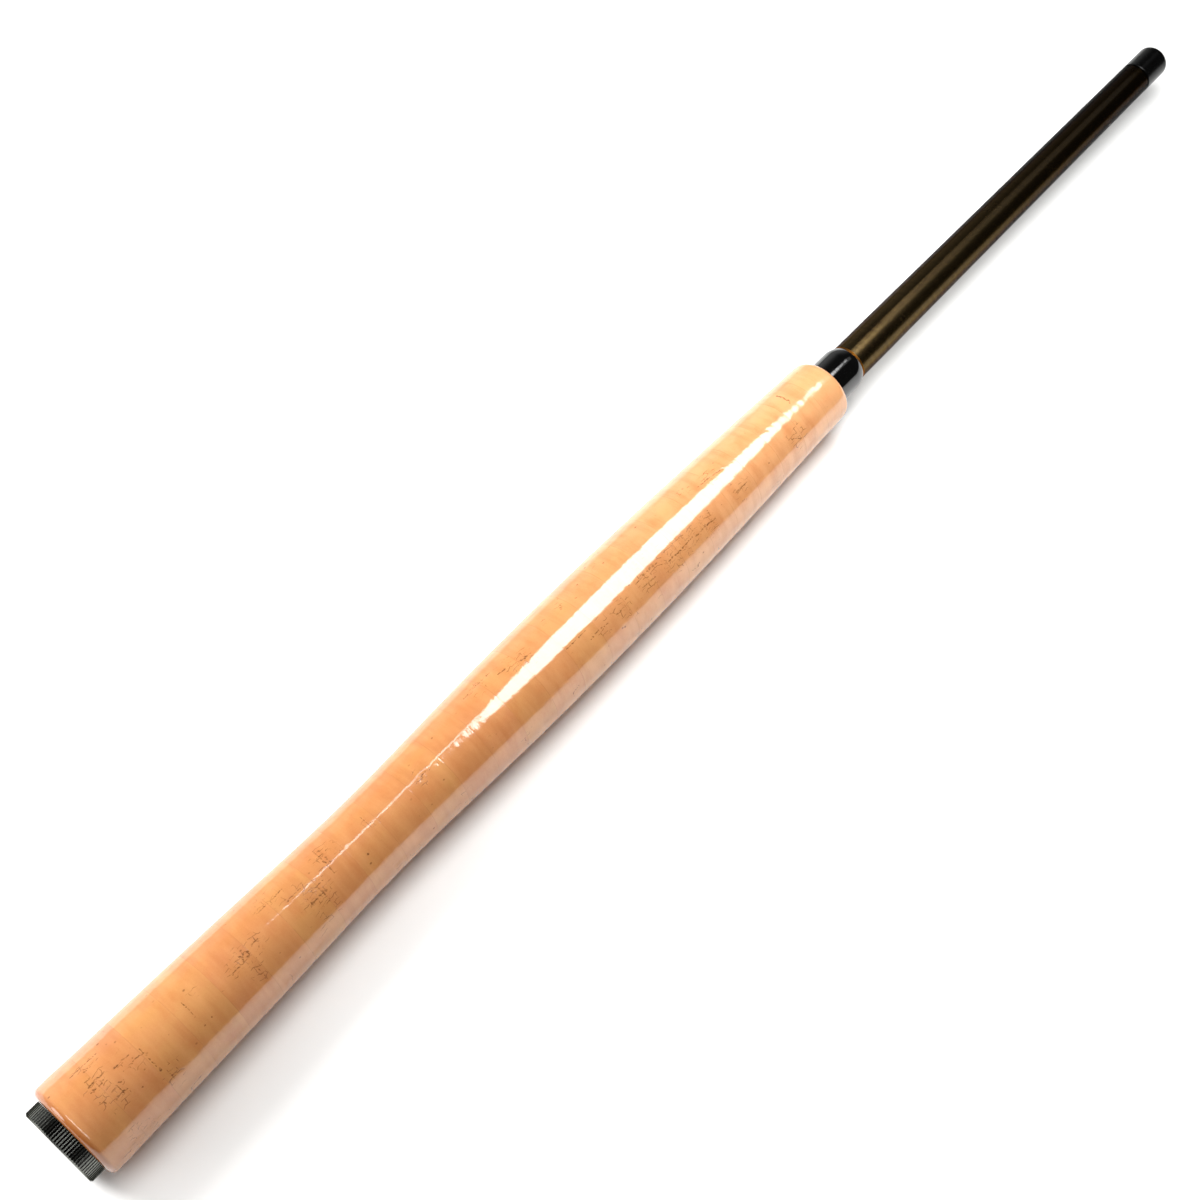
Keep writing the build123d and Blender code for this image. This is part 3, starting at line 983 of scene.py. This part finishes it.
class ROD_OT_cork_grip(bpy.types.Operator):
    """Turn the varnished cork rings of the grip, with their pits, cracks and joints."""

    bl_idname = "rod.cork_grip"
    bl_label = "Cork Grip"

    def execute(self, context):
        look = context.scene.rod_cork
        chance = np.random.default_rng(look.seed)
        material = cork_material(look)
        fine_spacing = 0.05 * MM
        outline = grip_outline(fine_spacing)
        marks = random_marks(chance)
        for width, corners in DRAWN_CRACKS:
            marks += crack_marks(chance, width, corners)
        clusters = list(CRACK_CLUSTERS)
        for _ in range(RANDOM_CLUSTERS):
            clusters.append(
                (
                    chance.uniform(grip_start, grip_end) / MM,
                    chance.uniform(*UNSEEN_SIDE),
                    chance.uniform(3, 7),
                    chance.uniform(0.4, 1),
                )
            )
        columns = int(2 * math.pi * grip_butt_radius / look.spacing)
        turns = np.arange(columns) * 2 * math.pi / columns
        for name in ring_names:
            low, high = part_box(name)
            inner = self.bore(name)
            part = outline[(outline[:, 0] > low.x) & (outline[:, 0] < high.x)]
            edge_radii = np.interp((low.x, high.x), outline[:, 0], outline[:, 1])
            part = np.vstack([(low.x, edge_radii[0]), part, (high.x, edge_radii[1])])
            reach = np.concatenate([[0], np.cumsum(np.hypot(*np.diff(part, axis=0).T))])
            rows = int(reach[-1] / look.spacing)
            edge = 0.1 * MM
            inside = np.linspace(edge, reach[-1] - edge, rows)
            places = np.concatenate([[0], inside, [reach[-1]]])
            skin = np.stack([np.interp(places, reach, part[:, axis]) for axis in (0, 1)], axis=1)
            closed = np.vstack([skin, inner])
            x = closed[:, 0] / MM
            radius = np.repeat(closed[:, 1:] / MM, columns, axis=1)
            pits = sunk_field(x, turns, radius, marks)
            cluster = cluster_field(x, turns, radius, clusters)
            pits[len(skin):] = 0
            sunk = pits * look.pit_depth
            if name != ring_names[0]:
                sunk[0] += look.joint_depth
            if name != ring_names[-1]:
                sunk[len(skin) - 1] += look.joint_depth
            mesh = turned_mesh(name.replace("cork_ring", "turned_ring"), closed, columns, sunk)
            for label, values in (("pit", pits), ("cluster", cluster)):
                attribute = mesh.attributes.new(label, "FLOAT", "POINT")
                attribute.data.foreach_set("value", values.ravel().astype(np.float32))
            add_piece(mesh.name, mesh, material, "handle", name)
        return {"FINISHED"}

    def bore(self, name):
        """Bore of a packed ring, from its front to its back."""
        low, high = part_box(name)
        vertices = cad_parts[name].data.vertices
        radii = {low.x: 1.0, high.x: 1.0}
        for vertex in vertices:
            for x in radii:
                if abs(vertex.co.x - x) < 1e-6:
                    radii[x] = min(radii[x], math.hypot(vertex.co.y, vertex.co.z))
        return [(high.x, radii[high.x]), (low.x, radii[low.x])]


class ROD_OT_blank(bpy.types.Operator):
    """Lacquer the butt section of the blank."""

    bl_idname = "rod.blank"
    bl_label = "Blank"

    def execute(self, context):
        dress(["butt_section"], lacquer_material(context.scene.rod_blank))
        return {"FINISHED"}


class ROD_OT_winding(bpy.types.Operator):
    """Lacquer the thread winding and wind the copper trim at its front edge."""

    bl_idname = "rod.winding"
    bl_label = "Winding and Trim"

    def execute(self, context):
        look = context.scene.rod_blank
        dress(["winding"], winding_material(look))
        low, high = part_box("trim_thread")
        thickness, sunk, rise, corners = 0.12 * MM, 0.02 * MM, 0.10 * MM, 8
        base = high.z - thickness
        wrap = (high.x - low.x) / look.wraps
        outline = []
        for number in range(look.wraps):
            for corner in range(corners + (number == look.wraps - 1)):
                share = corner / corners
                x = low.x + (number + share) * wrap
                outline.append((x, base + sunk + rise * math.sin(math.pi * share)))
        outline += [(high.x, base - sunk), (low.x, base - sunk)]
        columns = 180
        mesh = turned_mesh("trim_wraps", outline, columns)
        add_piece("trim_wraps", mesh, thread_material(look), "handle", "trim_thread")
        return {"FINISHED"}


class ROD_OT_inner_sections(bpy.types.Operator):
    """Finish the carbon sections inside the blank, and the brass collar on the tip."""

    bl_idname = "rod.inner_sections"
    bl_label = "Inner Sections"

    def execute(self, context):
        dress([*tube_names, "tip_section"], carbon_material(context.scene.rod_blank))
        colour = context.scene.rod_fittings.brass_colour
        dress(["tip_collar"], metal_material("drawn_brass", colour, 0.24, 6.0, 0.002 * MM))
        return {"FINISHED"}


class ROD_OT_butt_fittings(bpy.types.Operator):
    """Finish the butt cap with its pad and seal ring, and the threaded insert."""

    bl_idname = "rod.butt_fittings"
    bl_label = "Butt Fittings"

    def execute(self, context):
        look = context.scene.rod_fittings
        anodised = ribbed_metal_material("anodised_gunmetal", look.anodised_colour)
        dress(["butt_cap"], anodised)
        bare = metal_material("turned_aluminium", look.aluminium_colour, 0.30, 8.0, 0.004 * MM)
        dress(["butt_insert"], bare)
        rubber = moulded_material("moulded_rubber", look.rubber_colour, 0.5, 0.62, 0.2, 0.02 * MM)
        dress(["seal_ring", "cushion_pad", "plug_stem"], rubber)
        return {"FINISHED"}


class ROD_OT_tip_plug(bpy.types.Operator):
    """Finish the head of the tip plug."""

    bl_idname = "rod.tip_plug"
    bl_label = "Tip Plug"

    def execute(self, context):
        colour = context.scene.rod_fittings.plug_colour
        plastic = moulded_material("plug_plastic", colour, 0.25, 0.24, 0.12, 0.006 * MM)
        dress(["plug_head"], plastic)
        return {"FINISHED"}


class ROD_OT_stage(bpy.types.Operator):
    """Lay the floor, and set up the lights and the camera."""

    bl_idname = "rod.stage"
    bl_label = "Stage"

    def execute(self, context):
        look = context.scene.rod_stage
        self.lay_floor(look)
        self.hang_lights(look)
        self.set_camera(context.scene, look)
        self.light_world(context.scene)
        context.scene.view_settings.view_transform = "Standard"
        return {"FINISHED"}

    def lay_floor(self, look):
        """Lay the floor that the rod touches at its butt edge and at the palm swell."""
        material, bench, place = start_material("pale_floor")
        tone = bench.step(bench.noise(place, 0.02, 3.0), 0.3, 0.7, 0.985, 1.015)
        colour = bench.tint(look.floor_colour, tone)
        close_material(bench, Base_Color=colour, Roughness=0.7, Specular_IOR_Level=0.2)
        reach = 6.0
        butt_radius, palm_radius, butt_to_palm = 14.55, 13.93, 194
        tilt = math.atan((butt_radius - palm_radius) / butt_to_palm)
        corners = [(-reach, -reach, 0), (reach, -reach, 0), (reach, reach, 0), (-reach, reach, 0)]
        mesh = bpy.data.meshes.new("floor")
        mesh.from_pydata(corners, [], [(0, 1, 2, 3)])
        mesh.materials.append(material)
        floor = bpy.data.objects.new("floor", mesh)
        floor.rotation_euler = (0, -tilt, 0)
        butt_edge, below_axis = 6.5, 14.56
        floor.location = (butt_edge * MM, 0, -below_axis * MM)
        bpy.context.scene.collection.objects.link(floor)

    def hang_lights(self, look):
        """Soft lights above the rod, a key light beyond it, and an even light on the whole floor."""
        for name, (shape, size, place, target) in AREA_LIGHTS.items():
            data = bpy.data.lights.new(name, "AREA")
            data.shape = shape
            data.size, data.size_y = size
            data.energy = getattr(look, f"{name}_power")
            lamp = bpy.data.objects.new(name, data)
            turn = (Vector(target) - Vector(place)).to_track_quat("-Z", "Y")
            lamp.matrix_world = Matrix.Translation(place) @ turn.to_matrix().to_4x4()
            lamp.visible_camera = False
            lamp.visible_glossy = name != "key_light"
            bpy.context.scene.collection.objects.link(lamp)
        data = bpy.data.lights.new("room_light", "SUN")
        data.energy = look.room_light_strength
        spread, lean, roll = (math.radians(degrees) for degrees in (70, -12, -6))
        data.angle = spread
        lamp = bpy.data.objects.new("room_light", data)
        lamp.rotation_euler = (lean, roll, 0)
        lamp.visible_glossy = False
        bpy.context.scene.collection.objects.link(lamp)

    def set_camera(self, scene, look):
        """Stand the camera where the photographer's was."""
        azimuth, elevation = look.camera_azimuth, look.camera_elevation
        back = Vector(
            (
                math.sin(azimuth) * math.cos(elevation),
                -math.cos(azimuth) * math.cos(elevation),
                math.sin(elevation),
            )
        )
        right = Vector((math.cos(azimuth), math.sin(azimuth), 0))
        up = back.cross(right)
        data = bpy.data.cameras.new("camera")
        data.lens = look.camera_lens
        data.sensor_width = 36
        data.clip_start = 0.01
        camera = bpy.data.objects.new("camera", data)
        aim_along, aim_left, aim_up = 209.2 * MM, 1.44 * MM, 1.52 * MM
        middle = Vector((aim_along, 0, 0)) - right * aim_left + up * aim_up
        place = middle + back * look.camera_distance
        turn = Matrix((right, up, back)).transposed().to_4x4()
        camera.matrix_world = Matrix.Translation(place) @ turn
        scene.collection.objects.link(camera)
        scene.camera = camera

    def light_world(self, scene):
        """A dim room with a bright wall beyond the rod, white where the camera sees past the floor."""
        world = bpy.data.worlds.new("room")
        scene.world = world
        world.use_nodes = True
        world.node_tree.nodes.clear()
        bench = Bench(world.node_tree)
        outward = bench.put("ShaderNodeTexCoord").outputs["Generated"]
        parts = bench.parts(outward)
        beyond = bench.step(parts["Y"], 0.15, 0.8)
        low = bench.step(parts["Z"], 0.75, 0.2)
        wall_strength, room_strength = 0.48, 0.035
        wall = bench.times(beyond, low)
        room = bench.math("MULTIPLY_ADD", wall, wall_strength, room_strength)
        seen = bench.put("ShaderNodeLightPath").outputs["Is Camera Ray"]
        strength = bench.math("MAXIMUM", room, seen)
        backdrop = bench.put("ShaderNodeBackground", {"Color": (1, 1, 1), "Strength": strength})
        bench.put("ShaderNodeOutputWorld", {"Surface": backdrop.outputs[0]})


class ROD_PT_sidebar(bpy.types.Panel):
    """Sizes, colours and pieces of the rod."""

    bl_idname = "ROD_PT_sidebar"
    bl_label = "Collapsed Tenkara Rod"
    bl_space_type = "VIEW_3D"
    bl_region_type = "UI"
    bl_category = "Rod"

    def draw(self, context):
        for group in LOOKS:
            box = self.layout.box()
            for label in LOOKS[group].__annotations__:
                box.prop(getattr(context.scene, group), label)
        for operator in OPERATORS:
            self.layout.operator(operator.bl_idname)


LOOKS = {
    "rod_cork": CorkLook,
    "rod_blank": BlankLook,
    "rod_fittings": FittingsLook,
    "rod_stage": StageLook,
}
OPERATORS = (
    ROD_OT_cork_grip,
    ROD_OT_blank,
    ROD_OT_winding,
    ROD_OT_inner_sections,
    ROD_OT_butt_fittings,
    ROD_OT_tip_plug,
    ROD_OT_stage,
)


def register():
    for item in (*LOOKS.values(), *OPERATORS, ROD_PT_sidebar):
        bpy.utils.register_class(item)
    for name, group in LOOKS.items():
        setattr(bpy.types.Scene, name, PointerProperty(type=group))


def unregister():
    for name in LOOKS:
        delattr(bpy.types.Scene, name)
    for item in reversed((*LOOKS.values(), *OPERATORS, ROD_PT_sidebar)):
        bpy.utils.unregister_class(item)


def main():
    """Dress the rod and set up the stage."""
    register()
    for operator in OPERATORS:
        group, name = operator.bl_idname.split(".")
        getattr(getattr(bpy.ops, group), name)()


if __name__ == "__main__":
    main()
